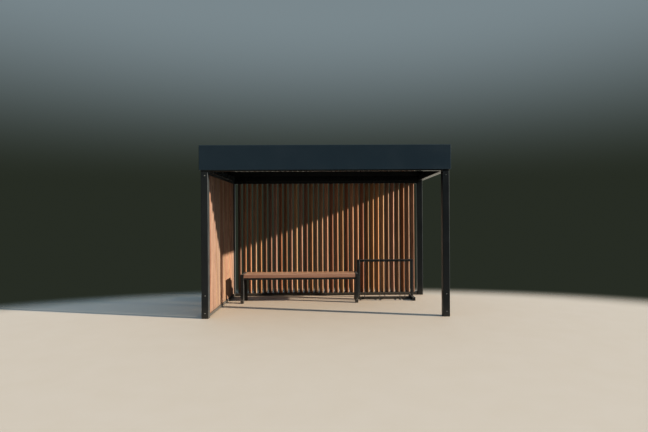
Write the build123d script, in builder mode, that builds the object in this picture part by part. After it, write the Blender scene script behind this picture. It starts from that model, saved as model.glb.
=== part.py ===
from build123d import *
import os

# An open bus shelter: a steel frame with a flat roof behind a deep fascia, walls of upright
# louvre boards at the back and the left, a timber bench and a bicycle rack.
# Sizes are in millimetres. The origin is on the ground under the middle of the roof,
# +X runs along the shelter to the right, +Y towards the back wall and +Z up.
os.makedirs("parts", exist_ok=True)

# Frame
shelter_length = 3600
shelter_depth = 1960
headroom = 2125
post_size = 100
post_wall = 5
post_corner = 8
foot_plate = 10
anchor_hole = 22
beam_height = 100
beam_wall = 5

# Roof
parapet_height = 275
beam_reveal = 15
fascia_stand_off = 20
fascia_sheet = 3
fascia_bend = 5
fascia_cover = 60
parapet_tube = 40
parapet_wall = 3
long_side_uprights = 5
purlin_width = 40
purlin_wall = 3
purlin_inset = 60
deck_rise = 105
deck_fall = 0.025
deck_sheet = 1
deck_rib_pitch = 200
deck_rib_height = 35
deck_rib_crest = 40
deck_rib_slope = 20
deck_clearance = 10
gutter_width = 100
gutter_height = 50
gutter_lip = 15
gutter_sheet = 2
gutter_bend = 4

# Walls of louvre boards
rail_width = 90
rail_height = 40
rail_wall = 3
rail_corner = 5
ground_gap = 10
board_width = 88
board_thickness = 26
board_arris = 3
board_pitch = 95
board_turn = 37.5

# Bench
bench_left = -1455
bench_length = 1995
bench_front = 140
bench_depth = 390
seat_height = 490
bench_tube_width = 50
bench_leg_depth = 80
bench_wall = 3
bench_corner = 5
bearer_height = 40
seat_board_thickness = 60
seat_board_gap = 6
seat_board_edge = 5
seat_boards = 4
seat_rail_width = 40
seat_rail_height = 30
seat_rail_inset = 5
cross_bars = 4
cross_bar_width = 40

# Bicycle rack
rack_length = 995
rack_height = 703
rack_tube = 40
rack_wall = 3
rack_corner = 5
rack_behind_bench_front = 320
rack_ground_gap = 5
rack_foot_width = 50
rack_foot_height = 58
rack_foot_length = 390
rack_foot_forward = 200
holder_rod = 12
rod_sides = 8
holder_reach = 150
holder_bend = 45
holder_spacing = 87
holder_pitch = 350
holder_first = 80
holder_drop = 20

# Plugs in open tube ends
plug_thickness = 4


def facing_x(x, y, z):
    """A plane whose normal is +X, with the piece's width along Y and its height along Z."""
    return Plane(origin=(x, y, z), x_dir=(0, 1, 0), z_dir=(1, 0, 0))


def facing_y(x, y, z):
    """A plane whose normal is +Y, with the piece's width along X and its height along Z."""
    return Plane(origin=(x, y, z), x_dir=(-1, 0, 0), z_dir=(0, 1, 0))


def tube(section, width, height, wall, length, corner=0):
    """A straight rectangular hollow section, drawn on its end plane and run along the normal."""
    with BuildPart() as run:
        with BuildSketch(section):
            outline = Rectangle(width, height)
            if corner:
                fillet(outline.vertices(), corner)
            Rectangle(width - 2 * wall, height - 2 * wall, mode=Mode.SUBTRACT)
        extrude(amount=length)
    return run.part


def plug(section, width, height, wall):
    """A flat plug pressed into the end of a hollow section, flush with its mouth."""
    with BuildPart() as insert:
        with BuildSketch(section):
            Rectangle(width - 2 * wall, height - 2 * wall)
        extrude(amount=plug_thickness)
    return insert.part


def save(piece, name):
    """Name a finished piece and write it."""
    piece.label = name
    export_step(piece, f"parts/{name}.step")


post_x = (shelter_length - post_size) / 2
post_y = (shelter_depth - post_size) / 2
clear_length = shelter_length - 2 * post_size
clear_depth = shelter_depth - 2 * post_size
corners = {
    "front_left": (-post_x, -post_y),
    "front_right": (post_x, -post_y),
    "back_left": (-post_x, post_y),
    "back_right": (post_x, post_y),
}

# Four square tube posts, each closed at its foot by a plate with one anchor hole.
for corner, (x, y) in corners.items():
    with BuildPart() as post:
        with BuildSketch(Plane(origin=(x, y, 0))):
            RectangleRounded(post_size, post_size, post_corner)
        extrude(amount=headroom)
        with BuildSketch(Plane(origin=(x, y, foot_plate))):
            Rectangle(post_size - 2 * post_wall, post_size - 2 * post_wall)
        extrude(amount=headroom - foot_plate, mode=Mode.SUBTRACT)
        with BuildSketch(Plane(origin=(x, y, 0))):
            Circle(anchor_hole / 2)
        extrude(amount=foot_plate, mode=Mode.SUBTRACT)
    save(post.part, f"post_{corner}")

# The roof's ring of beams: the long pair runs over the posts, the short pair between them.
beam_z = headroom + beam_height / 2
for side, y in (("front", -post_y), ("back", post_y)):
    end = facing_x(-shelter_length / 2, y, beam_z)
    save(tube(end, post_size, beam_height, beam_wall, shelter_length, post_corner), f"beam_{side}")
for side, x in (("left", -post_x), ("right", post_x)):
    end = facing_y(x, -clear_depth / 2, beam_z)
    save(tube(end, post_size, beam_height, beam_wall, clear_depth, post_corner), f"beam_{side}")

# The parapet frame on the ring: uprights, and a rail along each side under the fascia's cover.
beam_top = headroom + beam_height
roof_height = beam_top + parapet_height
parapet_top = roof_height - fascia_sheet
upright_height = parapet_top - parapet_tube - beam_top
parapet_x = (shelter_length - parapet_tube) / 2
parapet_y = (shelter_depth - parapet_tube) / 2
with BuildPart() as parapet_uprights:
    with BuildSketch(Plane.XY.offset(beam_top)):
        upright_pitch = 2 * parapet_x / (long_side_uprights - 1)
        hollow = parapet_tube - 2 * parapet_wall
        with GridLocations(upright_pitch, 2 * parapet_y, long_side_uprights, 2):
            Rectangle(parapet_tube, parapet_tube)
            Rectangle(hollow, hollow, mode=Mode.SUBTRACT)
        with GridLocations(2 * parapet_x, 0, 2, 1):
            Rectangle(parapet_tube, parapet_tube)
            Rectangle(hollow, hollow, mode=Mode.SUBTRACT)
    extrude(amount=upright_height)
save(parapet_uprights.part, "parapet_uprights")

parapet_rail_z = parapet_top - parapet_tube / 2
short_rail_length = shelter_depth - 2 * parapet_tube
with BuildPart() as parapet_rails_long:
    for y in (-parapet_y, parapet_y):
        add(tube(facing_x(-shelter_length / 2, y, parapet_rail_z), parapet_tube, parapet_tube,
                 parapet_wall, shelter_length))
save(parapet_rails_long.part, "parapet_rails_long")
with BuildPart() as parapet_rails_short:
    for x in (-parapet_x, parapet_x):
        add(tube(facing_y(x, -short_rail_length / 2, parapet_rail_z), parapet_tube, parapet_tube,
                 parapet_wall, short_rail_length))
save(parapet_rails_short.part, "parapet_rails_short")

# The fascia: one folded sheet a side, mitred at the corners. Its top return covers the
# parapet rail and its bottom return closes the gap to the beam.
roof_length = shelter_length + 2 * fascia_stand_off
roof_depth = shelter_depth + 2 * fascia_stand_off
fascia_foot = headroom + beam_reveal
roof_sides = {
    "front": (Vector(0, -roof_depth / 2), Vector(1, 0), Vector(0, 1), roof_length),
    "right": (Vector(roof_length / 2, 0), Vector(0, 1), Vector(-1, 0), roof_depth),
    "back": (Vector(0, roof_depth / 2), Vector(-1, 0), Vector(0, -1), roof_length),
    "left": (Vector(-roof_length / 2, 0), Vector(0, -1), Vector(1, 0), roof_depth),
}
for side, (middle, along, inward, length) in roof_sides.items():
    first_corner = middle - along * (length / 2)
    last_corner = middle + along * (length / 2)
    with BuildPart() as fascia:
        with BuildSketch(Plane(origin=first_corner, x_dir=inward, z_dir=along)):
            with BuildLine():
                FilletPolyline(
                    (fascia_stand_off, fascia_foot),
                    (0, fascia_foot),
                    (0, roof_height),
                    (fascia_cover, roof_height),
                    radius=fascia_bend,
                )
                offset(amount=fascia_sheet, side=Side.RIGHT)
            make_face()
        extrude(amount=length)
        split(bisect_by=Plane(origin=first_corner, z_dir=inward - along), keep=Keep.BOTTOM)
        split(bisect_by=Plane(origin=last_corner, z_dir=inward + along), keep=Keep.BOTTOM)
    save(fascia.part, f"fascia_{side}")

# Purlins on the short beams, each as tall as the roof deck's fall leaves room for.
deck_front = -shelter_depth / 2 + parapet_tube + deck_clearance
gutter_front = shelter_depth / 2 - parapet_tube - gutter_width
purlin_length = shelter_length - 2 * parapet_tube - 2 * deck_clearance
first_purlin = deck_front + purlin_inset
last_purlin = gutter_front - purlin_inset
with BuildPart() as purlins:
    for y in (first_purlin, (first_purlin + last_purlin) / 2, last_purlin):
        rise = deck_rise - (y + purlin_width / 2 - deck_front) * deck_fall
        add(tube(facing_x(-purlin_length / 2, y, beam_top + rise / 2), purlin_width, rise,
                 purlin_wall, purlin_length))
save(purlins.part, "purlins")

# The roof deck: one ribbed sheet that falls to the gutter along the back.
deck_direction = Vector(0, 1, -deck_fall).normalized()
deck_back = gutter_front + gutter_lip
rib_count = int(purlin_length // deck_rib_pitch)
with BuildPart() as roof_deck:
    with BuildSketch(Plane(origin=(0, deck_front, beam_top + deck_rise), x_dir=(-1, 0, 0),
                           z_dir=deck_direction)):
        with BuildLine():
            half_crest = deck_rib_crest / 2
            points = [(-purlin_length / 2, 0)]
            for rib in range(rib_count):
                middle = (rib - (rib_count - 1) / 2) * deck_rib_pitch
                points += [
                    (middle - half_crest - deck_rib_slope, 0),
                    (middle - half_crest, deck_rib_height),
                    (middle + half_crest, deck_rib_height),
                    (middle + half_crest + deck_rib_slope, 0),
                ]
            points.append((purlin_length / 2, 0))
            Polyline(*points)
            offset(amount=deck_sheet, side=Side.LEFT, kind=Kind.INTERSECTION)
        make_face()
    extrude(amount=(deck_back - deck_front) / deck_direction.Y)
save(roof_deck.part, "roof_deck")

# The box gutter on the back beam, closed at both ends.
with BuildPart() as roof_gutter:
    with BuildSketch(facing_x(-purlin_length / 2, 0, 0)):
        with BuildLine():
            FilletPolyline(
                (gutter_front, beam_top + gutter_height),
                (gutter_front, beam_top),
                (gutter_front + gutter_width, beam_top),
                (gutter_front + gutter_width, beam_top + gutter_height),
                radius=gutter_bend,
            )
            offset(amount=gutter_sheet, side=Side.LEFT)
        make_face()
    extrude(amount=purlin_length)
    gutter_y = gutter_front + gutter_width / 2
    for x in (-purlin_length / 2, purlin_length / 2 - gutter_sheet):
        with BuildSketch(facing_x(x, gutter_y, beam_top + gutter_height / 2)):
            end_plate = Rectangle(gutter_width, gutter_height)
            fillet(end_plate.vertices().group_by(Axis.Y)[0], gutter_bend)
        extrude(amount=gutter_sheet)
save(roof_gutter.part, "roof_gutter")

# Both walls: a bottom and a top rail between the posts, and boards set at an angle between
# the rails like louvres. Each wall is drawn along the X axis of its own plane.
walls = {
    "back": (Plane(origin=(0, post_y, 0)), clear_length),
    "left": (Plane(origin=(-post_x, 0, 0), x_dir=(0, 1, 0)), clear_depth),
}
board_foot = ground_gap + rail_height
board_length = headroom - rail_height - board_foot
for side, (wall, clear) in walls.items():
    start = wall.origin - wall.x_dir * (clear / 2)
    for name, z in (("bottom", ground_gap), ("top", headroom - rail_height)):
        end = Plane(origin=start + Vector(0, 0, z + rail_height / 2), x_dir=wall.y_dir, z_dir=wall.x_dir)
        save(tube(end, rail_width, rail_height, rail_wall, clear, rail_corner), f"{side}_rail_{name}")
    with BuildPart() as slats:
        with BuildSketch(wall.offset(board_foot)) as board_ends:
            with GridLocations(board_pitch, 0, int(clear // board_pitch), 1):
                Rectangle(board_width, board_thickness, rotation=90 + board_turn)
            chamfer(board_ends.vertices(), board_arris)
        extrude(amount=board_length)
    save(slats.part, f"{side}_slats")

# The bench: two end frames of tube, two rails between them and thick seat boards on the rails.
leg_height = seat_height - bearer_height
leg_inset = bench_leg_depth / 2
bench_ends = {
    "left": bench_left + bench_tube_width / 2,
    "right": bench_left + bench_length - bench_tube_width / 2,
}
for side, x in bench_ends.items():
    for name, y in (("front", bench_front + leg_inset), ("rear", bench_front + bench_depth - leg_inset)):
        foot = Plane(origin=(x, y, 0))
        save(tube(foot, bench_tube_width, bench_leg_depth, bench_wall, leg_height, bench_corner),
             f"bench_leg_{name}_{side}")
    end = facing_y(x, bench_front, leg_height + bearer_height / 2)
    save(tube(end, bench_tube_width, bearer_height, bench_wall, bench_depth, bench_corner),
         f"bench_bearer_{side}")

seat_left = bench_left + bench_tube_width
seat_length = bench_length - 2 * bench_tube_width
seat_rail_z = seat_height - seat_board_thickness - seat_rail_height / 2
seat_rail_inside = seat_rail_inset + seat_rail_width / 2
with BuildPart() as bench_rails:
    for y in (bench_front + seat_rail_inside, bench_front + bench_depth - seat_rail_inside):
        add(tube(facing_x(seat_left, y, seat_rail_z), seat_rail_width, seat_rail_height,
                 bench_wall, seat_length, bench_corner))
save(bench_rails.part, "bench_rails")

# Short bars between the two seat rails carry the middle seat boards.
cross_bar_front = bench_front + seat_rail_inset + seat_rail_width
cross_bar_length = bench_depth - 2 * (seat_rail_inset + seat_rail_width)
cross_bar_pitch = seat_length / cross_bars
with BuildPart() as bench_cross_bars:
    for number in range(cross_bars):
        x = seat_left + (number + 1 / 2) * cross_bar_pitch
        add(tube(facing_y(x, cross_bar_front, seat_rail_z), cross_bar_width, seat_rail_height,
                 bench_wall, cross_bar_length, bench_corner))
save(bench_cross_bars.part, "bench_cross_bars")

seat_board_width = (bench_depth - (seat_boards - 1) * seat_board_gap) / seat_boards
for number in range(seat_boards):
    y = bench_front + seat_board_width / 2 + number * (seat_board_width + seat_board_gap)
    with BuildPart() as seat_board:
        with BuildSketch(facing_x(seat_left, y, seat_height - seat_board_thickness / 2)):
            RectangleRounded(seat_board_width, seat_board_thickness, seat_board_edge)
        extrude(amount=seat_length)
    save(seat_board.part, f"seat_board_{number + 1}")

# The bicycle rack, fixed to the bench's right-hand end: an upright frame of square tube with
# its own foot at the far end.
rack_left = bench_left + bench_length
rack_right = rack_left + rack_length
rack_y = bench_front + rack_behind_bench_front + rack_tube / 2
rack_post_height = rack_height - rack_tube
far_post_x = rack_right - rack_tube / 2
near_post_x = rack_left + rack_tube / 2
save(tube(Plane(origin=(near_post_x, rack_y, 0)), rack_tube, rack_tube, rack_wall,
          rack_post_height, rack_corner), "rack_post_left")
save(tube(Plane(origin=(far_post_x, rack_y, rack_foot_height)), rack_tube, rack_tube, rack_wall,
          rack_post_height - rack_foot_height, rack_corner), "rack_post_right")
top_rail_z = rack_height - rack_tube / 2
save(tube(facing_x(rack_left, rack_y, top_rail_z), rack_tube, rack_tube, rack_wall,
          rack_length, rack_corner), "rack_top_rail")
low_rail_left = rack_left + rack_tube
low_rail_right = far_post_x - rack_foot_width / 2
low_rail_z = rack_ground_gap + rack_tube / 2
save(tube(facing_x(low_rail_left, rack_y, low_rail_z), rack_tube, rack_tube, rack_wall,
          low_rail_right - low_rail_left, rack_corner), "rack_bottom_rail")
foot_front = rack_y - rack_foot_forward
save(tube(facing_y(far_post_x, foot_front, rack_foot_height / 2), rack_foot_width,
          rack_foot_height, rack_wall, rack_foot_length, rack_corner), "rack_foot")

# Plastic plugs in the open ends of the bench's bearers and of the rack's top rail and foot.
bearer_z = leg_height + bearer_height / 2
with BuildPart() as tube_plugs:
    for x in bench_ends.values():
        for y in (bench_front, bench_front + bench_depth - plug_thickness):
            add(plug(facing_y(x, y, bearer_z), bench_tube_width, bearer_height, bench_wall))
    for x in (rack_left, rack_right - plug_thickness):
        add(plug(facing_x(x, rack_y, top_rail_z), rack_tube, rack_tube, rack_wall))
    for y in (foot_front, foot_front + rack_foot_length - plug_thickness):
        add(plug(facing_y(far_post_x, y, rack_foot_height / 2), rack_foot_width, rack_foot_height,
                 rack_wall))
save(tube_plugs.part, "tube_plugs")

# Three wheel holders: each is a pair of bent rods that stand forward of the rack, joined to the
# front faces of its two rails, with a wheel's width between them.
rail_face = rack_y - rack_tube / 2
holder_top = rack_height - holder_drop
for number, name in enumerate(("left", "middle", "right")):
    with BuildPart() as holder:
        for side in (-1, 1):
            x = rack_left + holder_first + number * holder_pitch + side * holder_spacing / 2
            with BuildLine() as bend:
                FilletPolyline(
                    (x, rail_face, holder_top),
                    (x, rail_face - holder_reach, holder_top),
                    (x, rail_face - holder_reach, low_rail_z),
                    (x, rail_face, low_rail_z),
                    radius=holder_bend,
                )
            with BuildSketch(Plane(origin=(x, rail_face, holder_top), z_dir=(0, -1, 0))):
                RegularPolygon(holder_rod / 2, rod_sides)
            sweep(path=bend.wire())
    save(holder.part, f"wheel_holder_{name}")
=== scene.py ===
import math
import random

import bmesh
import bpy
from mathutils import Matrix, Vector


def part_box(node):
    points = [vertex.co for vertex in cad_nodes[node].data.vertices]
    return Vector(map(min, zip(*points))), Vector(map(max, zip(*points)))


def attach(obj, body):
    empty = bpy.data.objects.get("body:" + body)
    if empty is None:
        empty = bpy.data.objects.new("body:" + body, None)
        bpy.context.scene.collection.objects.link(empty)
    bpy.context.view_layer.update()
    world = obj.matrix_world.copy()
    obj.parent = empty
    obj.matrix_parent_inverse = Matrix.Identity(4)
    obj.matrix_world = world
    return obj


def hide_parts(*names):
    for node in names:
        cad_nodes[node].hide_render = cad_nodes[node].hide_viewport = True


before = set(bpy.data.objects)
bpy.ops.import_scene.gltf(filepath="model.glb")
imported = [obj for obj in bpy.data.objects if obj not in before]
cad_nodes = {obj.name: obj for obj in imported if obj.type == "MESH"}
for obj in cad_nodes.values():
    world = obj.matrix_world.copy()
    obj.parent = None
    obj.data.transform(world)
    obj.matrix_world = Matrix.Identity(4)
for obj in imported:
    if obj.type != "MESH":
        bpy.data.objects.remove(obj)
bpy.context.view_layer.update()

# Camera: a person's eye height in front of the open side, a little right of the middle,
# through a short lens held almost level.
camera_place = Vector((0.0263, -7.470, 1.4425))
camera_yaw = math.radians(0.99)
camera_pitch = math.radians(0.053)
camera_roll = math.radians(-0.351)
camera_sensor = 36.0
camera_lens = 24.896
camera_shift = (-0.01757, 0.0024)

camera_data = bpy.data.cameras.new("camera")
camera_data.sensor_width = camera_sensor
camera_data.lens = camera_lens
camera_data.shift_x, camera_data.shift_y = camera_shift
camera = bpy.data.objects.new("camera", camera_data)
camera.matrix_world = (
    Matrix.Translation(camera_place)
    @ Matrix.Rotation(-camera_yaw, 4, "Z")
    @ Matrix.Rotation(math.radians(90) + camera_pitch, 4, "X")
    @ Matrix.Rotation(camera_roll, 4, "Z")
)
bpy.context.scene.collection.objects.link(camera)
bpy.context.scene.camera = camera

# Posts: four square steel tubes, welded to their foot plates, galvanised and then coated with
# anthracite powder. Each is bolted to a spigot in the ground and to the beam above.
post_nodes = ["post_front_left", "post_front_right", "post_back_left", "post_back_right"]
anthracite = (0.0112, 0.0138, 0.0148, 1)
anthracite_chalked = (0.0160, 0.0190, 0.0198, 1)
# Painted sunlight: the pale coat laid on faces that look at the low lamp.
anthracite_painted_sunlight = (0.068, 0.076, 0.079, 1)
anthracite_rubbed = (0.080, 0.090, 0.094, 1)
road_dust = (0.150, 0.122, 0.092, 1)
# Pale grey for faces that look up: settled dust, and a painted highlight on the tops.
dust_and_top_light_grey = (0.165, 0.150, 0.128, 1)
stainless = (0.34, 0.34, 0.33, 1)
stainless_grime = (0.150, 0.142, 0.130, 1)
steel_arris = 0.003
coat_peel = 0.00006
grime_relief = 0.0001
post_bolt_heights = (0.075, 0.33, 2.062)
bolt_head_radius = 0.0075
bolt_head_height = 0.0048
bolt_socket_radius = 0.0032
bolt_socket_depth = 0.0028
washer_radius = 0.0095
washer_thickness = 0.0015


def feed(tree, socket, value):
    """Links an output to a socket, or sets the socket's own number or colour."""
    if isinstance(value, bpy.types.NodeSocket):
        tree.links.new(value, socket)
    else:
        socket.default_value = value


def math_of(tree, operation, *terms, clamp=False):
    """The output of a Math node fed by numbers and by other nodes."""
    step = tree.nodes.new("ShaderNodeMath")
    step.operation = operation
    step.use_clamp = clamp
    for socket, term in zip(step.inputs, terms):
        feed(tree, socket, term)
    return step.outputs[0]


def product(tree, *factors):
    """Numbers and outputs multiplied together."""
    result = factors[0]
    for factor in factors[1:]:
        result = math_of(tree, "MULTIPLY", result, factor)
    return result


def eased(tree, value, low, high, start=0.0, end=1.0):
    """A value carried smoothly from the range low..high to start..end, and held outside it."""
    step = tree.nodes.new("ShaderNodeMapRange")
    step.interpolation_type = "SMOOTHSTEP"
    for socket, term in zip(step.inputs, (value, low, high, start, end)):
        feed(tree, socket, term)
    return step.outputs["Result"]


def tinted(tree, factor, under, over):
    """One colour laid over another by a factor."""
    step = tree.nodes.new("ShaderNodeMix")
    step.data_type = "RGBA"
    feed(tree, step.inputs["Factor"], factor)
    feed(tree, step.inputs["A"], under)
    feed(tree, step.inputs["B"], over)
    return step.outputs["Result"]


def vector_of(tree, operation, *terms):
    """The output of a Vector Math node fed by vectors and by other nodes."""
    step = tree.nodes.new("ShaderNodeVectorMath")
    step.operation = operation
    for socket, term in zip(step.inputs, terms):
        feed(tree, socket, term)
    return step.outputs["Value" if operation in ("LENGTH", "DOT_PRODUCT") else "Vector"]


def stretched(tree, place, scale):
    """Coordinates scaled by a different number along each axis."""
    return vector_of(tree, "MULTIPLY", place, scale)


def parts_of(tree, vector):
    """The X, Y and Z of a vector, as three outputs."""
    step = tree.nodes.new("ShaderNodeSeparateXYZ")
    feed(tree, step.inputs[0], vector)
    return step.outputs


def cloudy(tree, place, scale, detail, rough=0.5, output=0):
    """Noise at so many features a metre, as a value or, by its name, as a colour."""
    step = tree.nodes.new("ShaderNodeTexNoise")
    feed(tree, step.inputs["Vector"], place)
    feed(tree, step.inputs["Scale"], scale)
    feed(tree, step.inputs["Detail"], detail)
    feed(tree, step.inputs["Roughness"], rough)
    return step.outputs[output]


def new_effect(name, inputs, outputs):
    """A shader node group with named inputs, given as name: (type, value), and named outputs."""
    group = bpy.data.node_groups.new(name, "ShaderNodeTree")
    for label, (kind, value) in inputs.items():
        socket = group.interface.new_socket(label, in_out="INPUT", socket_type="NodeSocket" + kind)
        socket.default_value = value
    for label, kind in outputs.items():
        group.interface.new_socket(label, in_out="OUTPUT", socket_type="NodeSocket" + kind)
    given = group.nodes.new("NodeGroupInput").outputs
    made = group.nodes.new("NodeGroupOutput").inputs
    return group, given, made


def with_effect(tree, group, **values):
    """Places an effect in a material with that material's own values, and gives its outputs."""
    step = tree.nodes.new("ShaderNodeGroup")
    step.node_tree = group
    for label, value in values.items():
        feed(tree, step.inputs[label.replace("_", " ")], value)
    return step.outputs


def object_place(tree):
    """Coordinates in metres, fixed to the piece."""
    return tree.nodes.new("ShaderNodeTexCoord").outputs["Object"]


def face_direction(tree):
    """The X, Y and Z of the way a face looks, fixed to the piece."""
    return parts_of(tree, tree.nodes.new("ShaderNodeTexCoord").outputs["Normal"])


def raised(tree, height, distance, normal=None):
    """A bump of so many metres on top of a normal."""
    step = tree.nodes.new("ShaderNodeBump")
    step.inputs["Distance"].default_value = distance
    feed(tree, step.inputs["Height"], height)
    if normal is not None:
        feed(tree, step.inputs["Normal"], normal)
    return step.outputs["Normal"]


def new_material(name):
    """A material with its node tree and its shader."""
    material = bpy.data.materials.new(name)
    material.use_nodes = True
    return material, material.node_tree, material.node_tree.nodes["Principled BSDF"]


def dress(tree, shader, colour, roughness, normal, specular=0.5):
    """Gives a shader its colour, roughness, normal and strength of reflection."""
    feed(tree, shader.inputs["Base Color"], colour)
    feed(tree, shader.inputs["Roughness"], roughness)
    feed(tree, shader.inputs["Normal"], normal)
    feed(tree, shader.inputs["Specular IOR Level"], specular)


def finish_nodes(nodes, material):
    """Gives pieces their finish."""
    for name in nodes:
        for slot in cad_nodes[name].material_slots:
            slot.material = material


# Powder coat: a fine orange peel, broad clouds where the sun has chalked it, and faint
# upright marks where rain has run.
powder_coat, given, made = new_effect(
    "powder_coat",
    {
        "Paint": ("Color", anthracite),
        "Chalk": ("Color", anthracite_chalked),
        "Chalking": ("Float", 0.3),
        "Gloss": ("Float", 0.45),
        "Run Marks": ("Float", 0.3),
    },
    {"Color": "Color", "Roughness": "Float", "Height": "Float"},
)
tree = powder_coat
place = object_place(tree)
peel = cloudy(tree, place, 620, 2)
cloud = cloudy(tree, place, 2.1, 5, 0.6)
runs = cloudy(tree, stretched(tree, place, (34, 34, 0.9)), 1, 4, 0.6)
runs = eased(tree, runs, 0.48, 0.72)
chalked = product(tree, eased(tree, cloud, 0.38, 0.68), given["Chalking"])
marked = math_of(tree, "MAXIMUM", chalked, product(tree, runs, given["Run Marks"]))
feed(tree, made["Color"], tinted(tree, marked, given["Paint"], given["Chalk"]))
dulled = math_of(tree, "MULTIPLY_ADD", marked, 0.22, given["Gloss"])
speckle = math_of(tree, "MULTIPLY_ADD", peel, 0.08, -0.04)
feed(tree, made["Roughness"], math_of(tree, "ADD", dulled, speckle))
feed(tree, made["Height"], peel)

# Edge wear: the arris of a bent tube or a planed board, rounded over a few millimetres and
# rubbed here and there.
edge_wear, given, made = new_effect(
    "edge_wear",
    {"Width": ("Float", 0.003), "Wear": ("Float", 0.5), "Patches": ("Float", 14.0)},
    {"Mask": "Float", "Normal": "Vector"},
)
tree = edge_wear
rounded = tree.nodes.new("ShaderNodeBevel")
rounded.samples = 6
feed(tree, rounded.inputs["Radius"], given["Width"])
flat = tree.nodes.new("ShaderNodeNewGeometry").outputs["Normal"]
likeness = vector_of(tree, "DOT_PRODUCT", rounded.outputs["Normal"], flat)
turned_away = math_of(tree, "SUBTRACT", 1.0, likeness)
on_edge = eased(tree, turned_away, 0.02, 0.2)
patches = cloudy(tree, object_place(tree), given["Patches"], 5, 0.65)
patches = eased(tree, patches, 0.46, 0.66)
rubbed = product(tree, on_edge, patches)
feed(tree, made["Mask"], math_of(tree, "MULTIPLY", rubbed, given["Wear"], clamp=True))
feed(tree, made["Normal"], rounded.outputs["Normal"])

# Ground splash: dust and dried drops that rain throws up from the paving, thickest at the foot.
ground_splash, given, made = new_effect(
    "ground_splash",
    {"Reach": ("Float", 0.25), "Amount": ("Float", 0.6)},
    {"Mask": "Float"},
)
tree = ground_splash
place = object_place(tree)
height = parts_of(tree, place)["Z"]
ragged = cloudy(tree, place, 9, 4, 0.6)
ragged = product(tree, math_of(tree, "SUBTRACT", ragged, 0.5), given["Reach"])
level = math_of(tree, "ADD", height, ragged)
low = eased(tree, level, 0.0, given["Reach"], 1.0, 0.0)
drops = eased(tree, cloudy(tree, place, 110, 5, 0.7), 0.34, 0.68, 0.4, 1.0)
feed(tree, made["Mask"], product(tree, low, drops, given["Amount"]))

# Settled dust and painted top light: faces that look up are painted paler. This is partly dust that
# stays there and partly a painted highlight where the low lamp falls on tops. It is uneven, and thinner
# where rain has stood.
dust_and_top_light, given, made = new_effect(
    "dust_and_top_light", {"Amount": ("Float", 0.5), "Grain": ("Float", 46.0)}, {"Mask": "Float"}
)
tree = dust_and_top_light
upward = eased(tree, face_direction(tree)["Z"], 0.35, 0.9)
top_dust_and_light_mask = cloudy(tree, object_place(tree), given["Grain"], 5, 0.65)
top_dust_and_light_mask = eased(tree, top_dust_and_light_mask, 0.30, 0.66, 0.25, 1.0)
feed(tree, made["Mask"], product(tree, top_dust_and_light_mask, upward, given["Amount"]))

# Sun side: faces that look at the low lamp on the right are painted a paler coat in broad clouds. This
# is painted sunlight, dressed as coat chalked by the sun.
painted_sun_side, given, made = new_effect("painted_sun_side", {"Amount": ("Float", 0.8)}, {"Mask": "Float"})
tree = painted_sun_side
sunward = eased(tree, face_direction(tree)["X"], 0.35, 0.9)
bloom = cloudy(tree, object_place(tree), 4.0, 5, 0.6)
bloom = eased(tree, bloom, 0.25, 0.60, 0.6, 1.0)
feed(tree, made["Mask"], product(tree, bloom, sunward, given["Amount"]))


def coated_steel(name, paint, chalk, chalking, gloss, runs, splash_reach, splash):
    """A powder-coated steel finish with its own paint, wear and dirt, painted sunlight on faces toward
    the low lamp, and pale tops that are partly dust and partly painted highlight.
    """
    material, tree, shader = new_material(name)
    coat = with_effect(
        tree, powder_coat, Paint=paint, Chalk=chalk, Chalking=chalking, Gloss=gloss, Run_Marks=runs
    )
    edges = with_effect(tree, edge_wear, Width=steel_arris, Wear=0.55)
    dirt = with_effect(tree, ground_splash, Reach=splash_reach, Amount=splash)
    top_dust_and_light_mask = with_effect(tree, dust_and_top_light, Amount=0.75)
    painted_sunlight_mask = with_effect(tree, painted_sun_side, Amount=0.8)
    # Painted sunlight: faces that look at the low lamp turn paler.
    colour = tinted(tree, painted_sunlight_mask["Mask"], coat["Color"], anthracite_painted_sunlight)
    colour = tinted(tree, edges["Mask"], colour, anthracite_rubbed)
    # Faces that look up go pale grey: settled dust, and a painted highlight on the tops.
    colour = tinted(tree, top_dust_and_light_mask["Mask"], colour, dust_and_top_light_grey)
    colour = tinted(tree, dirt["Mask"], colour, road_dust)
    soiled = math_of(tree, "MAXIMUM", dirt["Mask"], top_dust_and_light_mask["Mask"])
    rough = math_of(tree, "MULTIPLY_ADD", soiled, 0.4, coat["Roughness"])
    dress(tree, shader, colour, rough, raised(tree, coat["Height"], coat_peel, edges["Normal"]))
    return material


post_finish = coated_steel(
    "post_powder_coat", anthracite, anthracite_chalked,
    chalking=0.45, gloss=0.30, runs=0.35, splash_reach=0.22, splash=0.25,
)
finish_nodes(post_nodes, post_finish)

# Stainless fasteners: button heads with a six-sided socket, each on a flat washer, a little dull
# from weather. The posts show three, two near the ground and one under the beam.
stainless_steel, tree, shader = new_material("stainless_steel")
grime = cloudy(tree, object_place(tree), 260, 4, 0.6)
colour = tinted(tree, grime, stainless, stainless_grime)
rough = eased(tree, grime, 0.3, 0.7, 0.24, 0.5)
dress(tree, shader, colour, rough, raised(tree, grime, grime_relief))
shader.inputs["Metallic"].default_value = 1.0


def facing(point, direction):
    """A placing whose own Z axis looks along a direction."""
    turn = Vector(direction).to_track_quat("Z", "Y").to_matrix().to_4x4()
    return Matrix.Translation(point) @ turn


def circle(middle, across, up, radius, sides):
    """Points round a circle that lies along two directions."""
    angles = [math.tau * side / sides for side in range(sides)]
    rays = [across * math.cos(angle) + up * math.sin(angle) for angle in angles]
    return [middle + ray * radius for ray in rays]


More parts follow.
